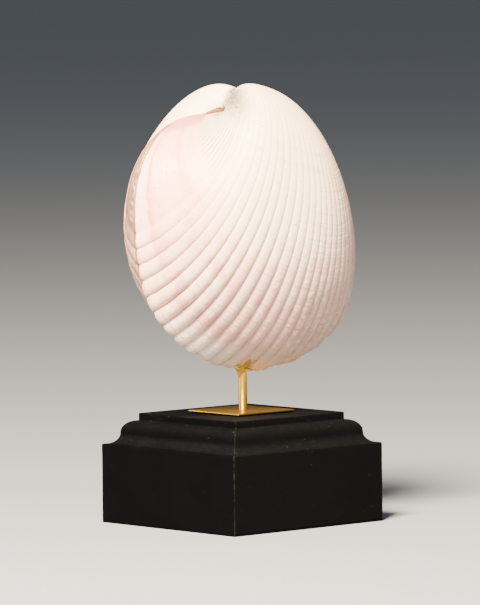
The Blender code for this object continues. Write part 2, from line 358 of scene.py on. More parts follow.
def furrow_degrees():
    """The furrows' places round the outline, from the rear slope forward."""
    degrees = []
    here = FIRST_FURROW
    while here > LAST_FURROW:
        degrees.append(here)
        spread = RIB_SPREADS[0] if here > RIB_WIDEST else RIB_SPREADS[1]
        here -= RIB_FLOOR + RIB_SWELL * math.exp(-((here - RIB_WIDEST) / spread) ** 2)
    return degrees


def margin_columns():
    """For each column of the valve: its angle, its place across its rib and the rib's width."""
    furrows = furrow_degrees()
    widest = RIB_FLOOR + RIB_SWELL
    columns = []
    for rib, (here, ahead) in enumerate(zip(furrows, furrows[1:])):
        for i in range(COLUMNS_PER_RIB):
            even = i / COLUMNS_PER_RIB
            across = 0.5 * even + 0.25 * (1.0 - math.cos(math.pi * even))
            columns.append((here + across * (ahead - here), across, (here - ahead) / widest, rib))
    front, rear = furrows[-1] + 360.0, furrows[0]
    steps = round((front - rear) / REAR_STEP)
    for i in range(steps):
        columns.append((front + (rear - front) * i / steps, 0.0, 0.0, 0))
    half = len(furrows[:-1]) * COLUMNS_PER_RIB + steps // 2
    return columns[half:] + columns[:half]


def margin_line():
    """The outline as a mesh of edges, one point for each column of a valve."""
    columns = margin_columns()
    degrees, across, width, rib = (np.array(values, dtype=float) for values in zip(*columns))
    angles = np.radians(degrees)
    count = len(columns)
    mesh = bpy.data.meshes.new("margin_line")
    mesh.from_pydata([tuple(p) for p in outline_points(angles)],
                     [(i, (i + 1) % count) for i in range(count)], [])
    luck = np.random.default_rng(11).random(len(columns))
    for name, values in (("angle", angles), ("across_rib", across), ("rib_width", width),
                         ("rib_luck", luck[rib.astype(int)])):
        mesh.attributes.new(name, "FLOAT", "POINT").data.foreach_set("value", values)
    return mesh


# Growing a valve

def line_size(kit, given, turn, cos_angle, sin_angle, cos_double):
    """How far a growth line has shrunk, by the place round the outline."""
    rate = given.shrink_rate + given.shrink_rear * cos_angle
    rate = rate + given.shrink_top * sin_angle + given.shrink_ends * cos_double
    upright = given.upright_even + given.upright_rear * cos_angle + given.upright_top * sin_angle
    upright = 1.0 / (1.0 + kit.math("EXPONENT", -upright))
    reach = given.upright_reach
    held = reach * upright * (1.0 - kit.math("EXPONENT", -turn / reach))
    return kit.math("EXPONENT", rate * (held - turn))


def smooth_outside(kit, given):
    """Rows from the margin, 0, to the beak's ring, and one row drawn in to a point."""
    mesh, column, row = kit.grid(given.columns, given.outer_rows + 1)
    column = column % given.columns
    margin = kit.sample(kit.source, kit.spot, column, "FLOAT_VECTOR")
    angle, across, width, luck = (
        kit.sample(kit.source, kit.named(name), column)
        for name in ("angle", "across_rib", "rib_width", "rib_luck"))
    share = row.at_most(given.outer_rows) / given.outer_rows
    turn = given.beak_turn * share ** given.row_crowding
    sway = kit.noise(kit.combine(angle * 9.0, given.seed, turn * 26.0), 1.0, 2.0) - 0.5
    swayed = given.furrow_wobble * sway * turn.span(0.0, 0.03)
    tilt = given.hinge_axis_tilt
    axis = kit.combine(0.0, -kit.math("COSINE", tilt), kit.math("SINE", tilt))

    def grown(point, size):
        return kit.vector("SCALE", kit.turned(point, axis, turn * given.side), size)

    size = line_size(kit, given, turn, kit.math("COSINE", angle), kit.math("SINE", angle),
                     kit.math("COSINE", angle * 2.0))
    margin = kit.turned(margin, (-1.0, 0.0, 0.0), swayed, given.outline_centre)
    middle = grown(given.outline_centre, line_size(kit, given, turn, 0.0, 0.0, 0.0))
    smooth = kit.choose(row > given.outer_rows, grown(margin, size), middle)

    rear = (angle * DEGREES).within(-48.0, 6.0, 90.0, 150.0)
    fade = given.relief_gone_turn - given.relief_rear_loss * rear - turn
    fade = (fade / given.relief_span).span(0.0, 1.0)
    crest = abs(across * 2.0 - 1.0) ** given.rib_flatness
    furrow = 1.0 - (1.0 - crest).at_least(0.0) ** (1.0 / given.rib_fullness)
    furrow = furrow * (width > 0.0)
    for name, value in (("growth", turn), ("growth_size", size), ("furrow", furrow * fade),
                        ("trace", furrow * turn.span(2.4, 1.5)), ("rear", rear),
                        ("far_side", 0.5 - 0.5 * given.side), ("rib_luck", luck), ("angle", angle),
                        ("rib_width", width)):
        mesh = kit.store(mesh, name, value)
    return kit.flip(kit.place(mesh, smooth), given.side < 0.0)


def relief(kit, given, size):
    """How deep the full-grown edge's relief is cut, and how worn the growth is."""
    turn, furrow, width, luck, rear, degrees = (
        kit.named(name) for name in ("growth", "furrow", "rib_width", "rib_luck", "rear", "angle"))
    degrees = degrees * DEGREES
    _, y, z = kit.separate(kit.vector("SCALE", kit.spot, 1.0 / size))

    def grown_noise(along, onward, detail, roughness=0.5):
        """Noise over a point's place on the margin and its growth, each at its own rate."""
        there = kit.combine(y * along, z * along, turn * onward + given.seed)
        return kit.noise(there, 1.0, detail, roughness)

    fine = grown_noise(along=38.0, onward=36.0, detail=2.0, roughness=0.6) - 0.5
    rough = grown_noise(along=159.6, onward=44.0, detail=4.0, roughness=0.65) - 0.5
    chipped = grown_noise(along=136.8, onward=20.0, detail=2.0).span(0.50, 0.68)
    chipped = chipped * turn.span(0.030, 0.004) * degrees.span(4.0, -8.0)
    worn = degrees.within(-170.0, -140.0, -110.0, -84.0) * turn.span(0.58, 0.34)
    worn = worn + turn.span(0.10, 0.04) * degrees.span(-62.0, -80.0) * 0.7
    worn = worn * degrees.span(-200.0, -170.0)
    low_edge = degrees.within(-98.0, -74.0, -24.0, -8.0)
    early_front = degrees.span(-60.0, -115.0) * turn.span(0.36, 0.62)
    stepped = degrees.within(-170.0, -140.0, -98.0, -80.0) * turn.span(0.55, 0.15)
    ribbed = degrees.span(8.0, -6.0) * degrees.span(-100.0, -65.0, 0.35, 1.0)
    ribbed = ribbed * turn.span(0.75, 0.10)
    last_stage = rear * turn.span(0.142, 0.118)
    at_edge = (1.0 - turn / given.lip_reach).at_least(0.0) ** 2.0
    depth = furrow * given.furrow_depth * width ** 0.7
    depth = depth * (1.0 - 0.45 * low_edge * turn.span(0.09, 0.01))
    depth = depth * (1.0 - (1.0 - given.front_furrow_share) * early_front)
    depth = depth + given.growth_wrinkle_depth * (fine + 0.1)
    depth = depth + given.ragged_growth_depth * worn * (rough + 0.05)
    depth = depth + given.margin_chip_depth * chipped
    depth = depth + given.rib_step_at_the_front * stepped * (luck * 2.0 - 1.1)
    depth = depth - given.crest_lift * ribbed * (1.0 - furrow)
    depth = depth + given.rear_ledge_depth * last_stage
    depth = depth + given.lip_depth * at_edge * (1.0 - low_edge)
    depth = depth + given.margin_set_back * low_edge * turn.span(0.22, 0.03)
    return depth, worn


def carved(kit, given, mesh):
    """Cuts the relief and the dent into the outside and keeps it on its own side of the seam."""
    size = kit.named("growth_size")
    depth, worn = relief(kit, given, size)
    off_angle = (kit.named("angle") * DEGREES - given.dent_angle) / given.dent_width
    off_turn = (kit.named("growth") - given.dent_turn) / given.dent_length
    dent = kit.math("EXPONENT", -(off_angle * off_angle + off_turn * off_turn))
    mesh = kit.store(mesh, "worn", worn)
    inward = depth * size + given.dent_behind_beak * dent
    shift = kit.vector("SCALE", kit.run("GeometryNodeInputNormal"), -inward)
    x, y, z = kit.separate(kit.vector("ADD", kit.spot, shift))
    x = (x * given.side).at_least(given.half_gap) * given.side
    mesh = kit.place(mesh, kit.combine(x, y, z))
    first_column = kit.run("GeometryNodeInputIndex") % (given.columns * given.points_per_column)
    return kit.place(mesh, kit.sample(mesh, kit.spot, first_column, "FLOAT_VECTOR"))


def edge_and_hollow(kit, given, outside):
    """Rows from the margin across the wall's edge and into the hollow, the last one a point."""
    inside, column, row = kit.grid(given.columns, given.inner_rows)
    column = column % given.columns
    edge = kit.sample(outside, kit.spot, column * given.points_per_column, "FLOAT_VECTOR")
    margin = kit.sample(kit.source, kit.spot, column, "FLOAT_VECTOR")
    outward = kit.vector("NORMALIZE", kit.vector("SUBTRACT", margin, given.outline_centre))
    inner_edge = kit.vector("SUBTRACT", margin, kit.vector("SCALE", outward, given.wall))
    step = (row - 1.0).at_least(0.0) / (given.inner_rows - 1.0)
    spread = kit.math("COSINE", step * (0.5 * math.pi)).at_least(0.0)
    rise = given.hollow_depth * (1.0 - spread ** given.hollow_fall) ** given.hollow_shoulder
    dome = kit.vector("SUBTRACT", inner_edge, given.hollow_top)
    dome = kit.vector("ADD", given.hollow_top, kit.vector("SCALE", dome, spread))
    dome = kit.vector("ADD", dome, kit.combine((rise + given.half_gap) * given.side, 0.0, 0.0))
    inside = kit.store(inside, "inside", row.at_most(1.0))
    inside = kit.place(inside, kit.choose(row < 0.5, dome, edge))
    return kit.flip(inside, given.side > 0.0)


def valve_tree(sizes):
    """Grows a valve from the margin line: the ribbed outside, then the wall's edge and hollow."""
    kit = GeometryKit("grow_valve")
    given = kit.ask_all(sizes)
    given.points_per_column = given.outer_rows + 2.0
    outside = carved(kit, given, smooth_outside(kit, given))
    joined = kit.add("GeometryNodeJoinGeometry")
    for part in (edge_and_hollow(kit, given, outside), outside):
        kit.tree.links.new(part.socket, joined.inputs[0])
    whole = kit.run("GeometryNodeMergeByDistance", {"Geometry": kit.out(joined), "Distance": WELD})
    for name in ("growth_size", "rib_width"):
        whole = kit.run("GeometryNodeRemoveAttribute", {"Geometry": whole, "Name": name})
    kit.finish(whole, given)
    return kit


def link(name, mesh):
    piece = bpy.data.objects.new(name, mesh)
    bpy.context.scene.collection.objects.link(piece)
    return piece


def grow(name, mesh, kit, sizes):
    """Runs a Geometry Nodes tree on a mesh and keeps the result as a plain piece."""
    piece = link(name, mesh)
    growth = piece.modifiers.new("Grow", "NODES")
    growth.node_group = kit.tree
    for word, value in sizes.items():
        growth[kit.asked[word]] = value
    graph = bpy.context.evaluated_depsgraph_get()
    grown = bpy.data.meshes.new_from_object(piece.evaluated_get(graph),
                                            preserve_all_data_layers=True, depsgraph=graph)
    piece.modifiers.remove(growth)
    piece.data = grown
    if grown.materials[0] is None:
        grown.materials.pop(index=0)
    grown.name = name
    return piece


def standing(finish):
    """The sizes that both trees ask for: the outline's centre, where it stands and the finish."""
    return {"Outline centre": (0.0, -OUTLINE_CENTRE[0], OUTLINE_CENTRE[1]), "Place": HINGE,
            "Lean": LEAN, "Finish": finish}


def make_valves(finish):
    line = margin_line()
    sizes = {
        **GROWTH,
        "Side": 1.0,
        "Seed": 3.0,
        "Columns": len(line.vertices),
        "Outer rows": 216,
        "Inner rows": 14,
        "Row crowding": 1.4,
        "Furrow depth": 1.4 * MM,
        "Front furrow share": 0.65,
        "Rib flatness": 2.4,
        "Rib fullness": 1.35,
        "Crest lift": 0.75 * MM,
        "Relief span": 1.75,
        "Relief gone turn": 1.9,
        "Relief rear loss": 1.0,
        "Growth wrinkle depth": 0.45 * MM,
        "Ragged growth depth": 2.0 * MM,
        "Rear ledge depth": 0.35 * MM,
        "Lip depth": 0.7 * MM,
        "Lip reach": 0.016,
        "Margin set back": 0.0,
        "Dent behind beak": 4.0 * MM,
        "Dent angle": 48.0,
        "Dent width": 27.0,
        "Dent turn": 1.05,
        "Dent length": 0.45,
        "Furrow wobble": 0.013,
        "Margin chip depth": 0.9 * MM,
        "Rib step at the front": 1.1 * MM,
        "Half gap": 0.15 * MM,
        "Wall": 4.6 * MM,
        "Hollow depth": 41.0 * MM,
        "Hollow fall": 1.6,
        "Hollow shoulder": 0.78,
        "Hollow top": (0.0, -2.0 * MM, -50.0 * MM),
        **standing(finish),
    }
    kit = valve_tree(sizes)
    left = {"Side": -1.0, "Seed": 17.0, "Margin set back": 1.1 * MM}
    valves = []
    for name, changes in (("right_valve", {}), ("left_valve", left)):
        valve = grow(name + "_shell", line, kit, {**sizes, **changes})
        valve.data.set_sharp_from_angle(angle=math.radians(60.0))
        valves.append(settle(valve, "shell", name))
    return valves


def settle(piece, slot, *nodes):
    """The piece rides on the only body and stands for its nodes; the slot is not used."""
    if nodes:
        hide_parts(*nodes)
    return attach(piece, "root")


# The thread of glue in the seam

def thread_tree(sizes):
    """Lays an uneven thread along the margin line."""
    kit = GeometryKit("lay_seam_thread")
    given = kit.ask_all(sizes)
    inward = kit.vector("NORMALIZE", kit.vector("SUBTRACT", given.outline_centre, kit.spot))
    furrow = abs(kit.named("across_rib") * 2.0 - 1.0) ** 2.0
    furrow = furrow * kit.named("rib_width").at_most(1.0)
    degrees = kit.named("angle") * DEGREES
    upper_run = degrees.within(26.0, 30.0, 41.0, 46.0)
    lower_run = degrees.within(-32.0, -22.0, 6.0, 14.0)
    shown = upper_run.at_least(lower_run * 0.85)
    sink = given.sink_into_seam
    unseen = degrees.span(-26.0, -46.0) * sink * 1.9
    sunk = kit.vector("SCALE", inward, (sink + furrow * sink) * (1.0 - 0.75 * shown) + unseen)
    line = kit.place(kit.source, kit.vector("ADD", kit.spot, sunk))
    ring = kit.run("GeometryNodeCurvePrimitiveCircle",
                   {"Resolution": given.thread_sides, "Radius": given.thread_radius})
    lumps = kit.noise(kit.vector("ADD", kit.spot, kit.combine(given.seed, 0.0, 0.0)),
                      given.beads_per_metre, 3.0)
    scale = 1.0 + given.unevenness * (lumps * 2.0 - 1.0)
    scale = scale * (given.thinnest_share + (1.0 - given.thinnest_share) * shown)
    scale = scale + 0.9 * degrees.pulse(28.8, 2.6) + 0.3 * upper_run
    curve = kit.run("GeometryNodeMeshToCurve", {"Mesh": line})
    tube = kit.run("GeometryNodeCurveToMesh",
                   {"Curve": curve, "Profile Curve": ring, "Scale": scale})
    kit.finish(tube, given)
    return kit


def make_seam_thread(finish):
    sizes = {
        "Thread radius": 0.52 * MM,
        "Thinnest share": 0.28,
        "Unevenness": 0.75,
        "Beads per metre": 110.0,
        "Sink into seam": 0.85 * MM,
        "Thread sides": 8,
        "Seed": 5.0,
        **standing(finish),
    }
    settle(grow("seam_glue", margin_line(), thread_tree(sizes), sizes), "glue")


# Lofted pieces

def lofted(name, rings, finish, looped=False):
    """A smooth mesh through rings of points, looped or with its ends drawn in to their middles."""
    rings = [np.asarray(one) for one in rings]
    count = len(rings[0])
    verts = [tuple(point) for one in rings for point in one]
    faces = []
    for level in range(len(rings) if looped else len(rings) - 1):
        here, ahead = level * count, (level + 1) % len(rings) * count
        for side in range(count):
            beside = (side + 1) % count
            faces.append((here + side, here + beside, ahead + beside, ahead + side))
    if not looped:
        for ring, first, turn in ((rings[0], 0, True), (rings[-1], (len(rings) - 1) * count, False)):
            middle = len(verts)
            verts.append(tuple(ring.mean(axis=0)))
            for side in range(count):
                a, b = first + side, first + (side + 1) % count
                faces.append((b, a, middle) if turn else (a, b, middle))
    mesh = bpy.data.meshes.new(name)
    mesh.from_pydata(verts, [], faces)
    mesh.validate()
    mesh.shade_smooth()
    mesh.materials.append(finish)
    return link(name, mesh)


def unevenness(point, per_metre, seed=0.0):
    """Smooth noise from -1 to 1 at a point."""
    return noise.noise(Vector(point) * per_metre + Vector((seed, seed, seed)))


def tube_rings(path, radii, sides, flat=1.0, ridges=0, ridge=0.0, upright=(0.0, 0.0, 1.0)):
    """Rings round a path, flattened along the upright direction, with ridges along the tube."""
    path = [Vector(point) for point in path]
    rings = []
    for i, (point, radius) in enumerate(zip(path, radii)):
        ahead = (path[min(i + 1, len(path) - 1)] - path[max(i - 1, 0)]).normalized()
        level = ahead.cross(Vector(upright)).normalized()
        rise = ahead.cross(level)
        ring = []
        for k in range(sides):
            turn = 2.0 * math.pi * k / sides
            reach = radius * (1.0 + ridge * math.sin(ridges * turn + 3.0 * i / len(path)))
            reach *= 1.0 + ridge * unevenness(point + level * math.cos(turn) * radius, 900.0)
            ring.append(point + level * (reach * math.cos(turn)) + rise * (reach * flat * math.sin(turn)))
        rings.append(ring)
    return rings


def make_ligament(finish):
    """A dry wedge of strands, high behind the beaks and drawn out thin along the seam."""
    spine = [(-10.9, 186.4, 0.4), (-12.0, 186.3, 1.2), (-13.4, 186.1, 1.7), (-15.0, 186.0, 1.7),
             (-16.6, 185.8, 1.5), (-18.4, 185.6, 1.2), (-20.2, 185.4, 0.85), (-22.0, 185.1, 0.55),
             (-24.0, 184.8, 0.25)]
    along, up, half = (np.array(values) * MM for values in zip(*spine))
    seam, steps = 2.9 * MM, 60
    path, radii = [], []
    for i in range(steps + 1):
        y = along[0] + (along[-1] - along[0]) * i / steps
        path.append(Vector((seam, y, float(np.interp(-y, -along, up)))))
        radii.append(float(np.interp(-y, -along, half)))
    rings = tube_rings(path, radii, 32, 1.0, 7, 0.13)
    settle(lofted("ligament_strands", rings, finish), "ligament", "ligament")


def make_fillet(finish):
    """The glue round the rod's top, drawn down its rear side."""
    rod_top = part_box("brass_rod")[1].z
    sides, steps = 64, 26
    rear_side = math.radians(228.0)
    collar, drawn_down, full_rise = 1.0 * MM, 4.3 * MM, 5.9 * MM
    flare, foot_bulge = 1.9 * MM, 0.25 * MM
    centre = Vector((*ROD_AT, 0.0))
    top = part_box("glue_bead")[1].z
    rings = [[] for _ in range(steps + 1)]
    for k in range(sides):
        turn = 2.0 * math.pi * k / sides
        toward_rear = 0.5 + 0.5 * math.cos(turn - rear_side)
        foot = rod_top - collar - drawn_down * toward_rear ** 1.5
        across = Vector((math.cos(turn), math.sin(turn), 0.0))
        for step in range(steps + 1):
            height = foot + (top - foot) * step / steps
            climbed = (height - foot) / full_rise
            radius = ROD_RADIUS * 0.98 + flare * climbed ** 2.0 + foot_bulge * climbed ** 0.4
            point = centre + across * radius + Vector((0.0, 0.0, height))
            lump = 0.45 * climbed * unevenness(point, 300.0, 2.0)
            rings[step].append(point + across * (lump * MM))
    settle(lofted("glue_fillet", rings, finish), "glue", "glue_bead")


def make_runs(near_valve, finish, run_finish, smear_finish):
    """Flat runs of glue laid on the near valve, over the rod."""
    shell = BVHTree.FromObject(near_valve, bpy.context.evaluated_depsgraph_get())
    for name, film, run, widths, flat, proud in (
            ("glue_run", run_finish,
             [(6.4, -3.8, 69.0), (8.4, -5.0, 69.9), (10.2, -6.0, 71.1), (12.0, -6.9, 72.3),
              (13.4, -7.6, 73.2), (14.6, -8.1, 74.0), (15.6, -8.4, 74.7)],
             (1.3, 2.0, 1.8, 1.5, 1.3, 1.0, 0.4), 0.26, 0.05 * MM),
            ("glue_smear", smear_finish,
             [(6.6, -1.6, 69.0), (8.8, -2.6, 69.8), (10.8, -3.6, 71.0), (12.8, -4.5, 72.2),
              (14.4, -5.4, 73.3), (15.4, -6.4, 74.0)],
             (1.0, 1.9, 2.1, 1.8, 1.2, 0.3), 0.18, 0.15 * MM),
            ("glue_edge", finish,
             [(8.4, -10.4, 71.0), (8.6, -8.6, 70.6), (8.7, -6.6, 70.3), (8.4, -5.0, 70.0),
              (8.2, -3.4, 69.8), (8.4, -1.4, 69.7), (8.6, 0.2, 69.6)],
             (0.4, 1.3, 1.8, 2.0, 1.9, 1.2, 0.4), 0.42, 0.0)):
        path, wide, outward = [], [], Vector((0.0, 0.0, 0.0))
        steps = 40
        for i in range(steps + 1):
            place = (len(run) - 1) * i / steps
            first = min(int(place), len(run) - 2)
            spot = Vector(run[first]).lerp(Vector(run[first + 1]), place - first) * MM
            spot, normal = shell.find_nearest(spot)[:2]
            path.append(spot + normal * proud)
            outward += normal
            wide.append(float(np.interp(place, range(len(widths)), widths)) * MM)
        rings = tube_rings(path, wide, 24, flat, 3, 0.10, outward.normalized())
        settle(lofted(name, rings, film), "glue")


# Plate

def make_plate(finish):
    """A thin plate with an eased edge, bored for the rod."""
    low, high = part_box("brass_plate")
    half, bore, inmost = high.x, 2.3 * MM, 2.35 * MM
    profile = [(inmost, low.z), (half - 0.7 * MM, low.z), (half - 0.35 * MM, low.z + 0.34 * MM),
               (half, low.z + 0.40 * MM), (half, high.z), (inmost, high.z)]
    rings = []
    for reach, height in eased_corners(profile, 0.30 * MM):
        ring = square_ring(reach, height, min(0.5 * MM, 0.3 * reach), 24, 4)
        if reach < inmost + 0.25 * MM:
            ring = [Vector((*ROD_AT, height)) + Vector((p.x, p.y, 0.0)).normalized() * bore
                    for p in ring]
        rings.append(ring)
    plate = lofted("brass_plate_face", rings, finish, looped=True)
    settle(plate, "brass", "brass_plate")


# Plinth

def plinth_profile():
    """Half width and height up the plinth's side: block, cove, round and cap."""
    quarter, steps = 0.5 * math.pi, 12
    points = [(PLINTH_HALF, 0.0), (PLINTH_HALF, BLOCK_TOP)]
    for centre, radius, first, sweep in ((COVE_CENTRE, COVE_RADIUS, -quarter, -quarter),
                                         (ROUND_CENTRE, ROUND_RADIUS, 0.0, quarter)):
        for i in range(steps + 1):
            turn = first + sweep * i / steps
            points.append((centre[0] + radius * math.cos(turn), centre[1] + radius * math.sin(turn)))
    points += [(CAP_HALF, ROUND_CENTRE[1] + ROUND_RADIUS + 0.1 * MM), (CAP_HALF, CAP_TOP),
               (20.0 * MM, CAP_TOP), (2.6 * MM, CAP_TOP)]
    return points


def eased_corners(points, ease):
    """Each sharp corner of a line replaced by a small arc, and long stretches cut in steps."""
    points = [Vector(point) for point in points]
    eased = [points[0]]
    for before, here, after in zip(points, points[1:], points[2:]):
        back, ahead = (before - here), (after - here)
        bend = back.angle(ahead) if back.length and ahead.length else math.pi
        if bend > math.radians(165.0):
            eased.append(here)
            continue
        room = min(ease, 0.45 * back.length, 0.45 * ahead.length)
        start, stop = here + back.normalized() * room, here + ahead.normalized() * room
        for i in range(4):
            share = i / 3
            eased.append(start * (1 - share) ** 2 + here * (2 * share * (1 - share)) + stop * share ** 2)
    eased.append(points[-1])
    cut = [eased[0]]
    for here in eased[1:]:
        steps = max(1, round((here - cut[-1]).length / (1.6 * MM)))
        start = cut[-1]
        cut += [start + (here - start) * (i + 1) / steps for i in range(steps)]
    return cut


def square_ring(half, height, corner, per_side, per_corner):
    ring = []
    for quarter in range(4):
        turned = Matrix.Rotation(0.5 * math.pi * quarter, 2)
        near = half - corner
        side = [Vector((half, -near + 2.0 * near * i / per_side)) for i in range(per_side)]
        bend = [Vector((near + corner * math.cos(0.5 * math.pi * i / per_corner),
                        near + corner * math.sin(0.5 * math.pi * i / per_corner)))
                for i in range(per_corner)]
        ring += [Vector((*(turned @ point), height)) for point in side + bend]
    return ring


def make_plinth(finish):
    rings = []
    for half, height in eased_corners(plinth_profile(), 0.45 * MM):
        ring = square_ring(half, height, min(0.5 * MM, 0.5 * half), 44, 4)
        worn = []
        for point in ring:
            if height > 1.0 * MM and half > 20.0 * MM:
                rough = unevenness(point, 55.0, 1.0) * 0.10 + unevenness(point, 420.0, 4.0) * 0.05
                point = point - Vector((point.x, point.y, 0.0)).normalized() * (abs(rough) * MM)
            worn.append(point)
        rings.append(worn)
    settle(lofted("plinth_block", rings, finish), "black_wood", "plinth")


# Finishes

class ShellKit(FinishKit):
    """Puts nodes into the shell's material, with the traits, places and noises that they go by."""

    def __init__(self):
        super().__init__("worn_cockle_shell")
        for name in ("growth", "furrow", "trace", "rear", "worn", "far_side", "rib_luck", "inside"):
            setattr(self, name, self.trait(name))
        self.near_side = 1.0 - self.far_side
        self.degrees = self.trait("angle") * DEGREES
        self.x, self.y, self.z = self.separate(self.here)
        self.broad = self.grain(24.0, 3.0)
        self.cloudy = self.grain(75.0, 4.0, 0.6)
        self.mottled = self.grain(240.0, 4.0, 0.65)
        self.gritty = self.grain(380.0, 4.0, 0.7)
        self.uneven_growth = self.growth + (self.cloudy - 0.5) * 0.035
        # Lower front: the shell's own pinker zone, and partly painted shade where the light falls off
        # downwards.
        self.low_front = (self.z - self.y * 0.35).span(0.150, 0.070)
        self.pits = self.grain(620.0).span(0.31, 0.22)
        self.rays = self.beak_rays()

    def beak_rays(self):
        """Faint rays on the rear slope of the near valve, close to the beak."""
        waves = self.math("SINE", self.degrees * 1.75 + (self.mottled - 0.5) * 5.0).span(0.2, 0.9)
        early = self.growth.within(0.58, 0.85, 1.2, 1.7)
        return waves * early * self.degrees.within(-20.0, 14.0, 60.0, 80.0) * self.rear * self.near_side

    def growth_noise(self, along, onward, detail, roughness):
        """Noise in bands that follow the growth lines."""
        spot = self.combine(self.y * along, self.z * along, self.growth * onward)
        return self.noise(spot, 1.0, detail, roughness)


def cream_ground(kit):
    """Cream, warmer and darker towards the lower front (partly its own pink, partly painted shade), with
    painted shade towards the front edge and bands along the growth lines.
    """
    low_front, worn = kit.low_front, kit.worn
    kit.colour = kit.mix(kit.broad.span(0.35, 0.65), (0.91, 0.75, 0.52), (0.92, 0.76, 0.58))
    # Pinker and darker low at the front: partly its own pink, partly painted shade.
    kit.cover(low_front * kit.cloudy.span(0.2, 0.7, 0.6, 1.0), (0.78, 0.41, 0.37))
    # Painted shade: darker towards the front edge, on the side turned away from the key light.
    kit.cover(kit.y.span(0.000, 0.040) * 0.85, (0.48, 0.255, 0.225))
    kit.cover(worn * kit.gritty.span(0.38, 0.56) * 0.85, (0.34, 0.18, 0.155))
    kit.cover(worn * kit.gritty.span(0.46, 0.32) * 0.5, (0.88, 0.68, 0.58))
    broken = kit.grain(620.0, 3.0, 0.7).span(0.51, 0.58) * worn
    broken = broken * kit.degrees.span(-80.0, -98.0) * kit.z.span(0.108, 0.096)
    kit.cover(broken * 0.6, (0.20, 0.11, 0.09))
    rings = kit.growth_noise(22.0, 26.0, 3.0, 0.55).span(0.50, 0.66)
    kit.cover(rings * (0.35 + low_front * 0.25), (0.80, 0.48, 0.41))
    fine_rings = kit.growth_noise(45.0, 130.0, 3.0, 0.6).span(0.50, 0.70)
    kit.cover(fine_rings * low_front * 0.5, (0.58, 0.36, 0.30))
    kit.cover(kit.rib_luck.span(0.4, 1.0) * 0.25, (0.94, 0.78, 0.64))


def rear_slope(kit):
    """Pink, with pinker growth lines, a pale last stage along the margin, a darker hinge lip and a pink
    shoulder under the ligament with painted shade.
    """
    growth, line, degrees, y, z = kit.growth, kit.uneven_growth, kit.degrees, kit.y, kit.z
    slope = kit.rear * growth.span(1.05, 0.35) * degrees.span(112.0, 86.0)
    slope = slope * z.span(0.120, 0.165, 0.72, 1.0)
    kit.cover(slope * kit.broad.span(0.3, 0.6, 0.7, 1.0), (0.92, 0.42, 0.34))
    lines = line.pulse(0.135, 0.042) * z.span(0.10, 0.13)
    lines = lines + line.pulse(0.45, 0.075) * z.span(0.140, 0.155) * 0.6
    lines = lines + line.pulse(0.60, 0.08) * z.span(0.165, 0.18) * 0.35
    blush = line.pulse(0.190, 0.09) * z.span(0.105, 0.135) * kit.cloudy.span(0.35, 0.6)
    lines = (lines + blush * 0.55).at_most(1.0) * kit.rear * kit.mottled.span(0.35, 0.6, 0.45, 1.0)
    kit.cover(lines * 0.9, (0.62, 0.24, 0.20))
    last_stage = line.span(0.125, 0.105) * degrees.span(40.0, 30.0) * z.span(0.118, 0.138)
    kit.cover(last_stage * kit.rear * kit.near_side * 0.8, (0.84, 0.54, 0.53))
    hinge_lip = degrees.within(52.0, 68.0, 86.0, 96.0) * growth.span(0.42, 0.08) * kit.rear
    # The shoulder just below the hinge crest, under the ligament: partly its own pink, partly painted
    # shade.
    below_crest = z - y * 0.235 - 191.3 * MM
    breadth = y.span(-25.0 * MM, -31.0 * MM, 1.3 * MM, 3.4 * MM)
    shoulder = (below_crest / breadth).span(-1.0, -0.25) * y.span(-20.0 * MM, -22.5 * MM)
    shoulder = shoulder * kit.x.span(13.5 * MM, 11.0 * MM)
    kit.cover(hinge_lip.at_least(shoulder * kit.near_side) * 0.9, (0.50, 0.22, 0.19))


def low_growth(kit):
    """Pink blotches where growth stages cross the low ribs, painted light on the low rib ends, the
    browner rim and painted shade on the underside.
    """
    growth, line, degrees = kit.growth, kit.uneven_growth, kit.degrees
    stages = line.pulse(0.155, 0.075) + line.pulse(0.34, 0.07) * 0.5
    blotches = kit.grain(165.0, 3.0).span(0.44, 0.58)
    tinted = (stages * (0.35 + blotches * 0.65) + blotches * 0.45).at_most(1.0)
    tinted = tinted * degrees.within(-108.0, -80.0, -8.0, 12.0) * growth.span(0.62, 0.42)
    kit.cover(tinted * 0.85, (0.78, 0.33, 0.30))
    late_line = line - degrees.span(-58.0, -115.0, 0.0, 0.14)
    late_stage = late_line.span(0.56, 0.38) * 0.25 + late_line.pulse(0.445, 0.06) * 0.35
    late_stage = late_stage * degrees.span(-46.0, -66.0) * kit.cloudy.span(0.3, 0.6, 0.5, 1.0)
    kit.cover(late_stage, (0.76, 0.37, 0.34))
    # Painted light: the low rib ends kept pale up to the margin, where the surface turns away from the
    # light.
    painted_light_rib_ends = growth.span(0.14, 0.06) * degrees.within(-98.0, -78.0, -50.0, -34.0)
    kit.cover(painted_light_rib_ends * 0.75, (0.94, 0.82, 0.68))
    rim = growth.span(0.024, 0.004) * 0.5 + growth.span(0.05, 0.01) * kit.far_side * 0.4
    kit.cover(rim * degrees.within(-104.0, -88.0, -34.0, -18.0), (0.40, 0.24, 0.15))
    # Painted shade: darker and greyer on the underside, low at the front.
    underside_painted_shade = kit.z.span(0.090, 0.074) * degrees.span(-60.0, -80.0)
    kit.cover(underside_painted_shade * 0.7, (0.44, 0.37, 0.31))


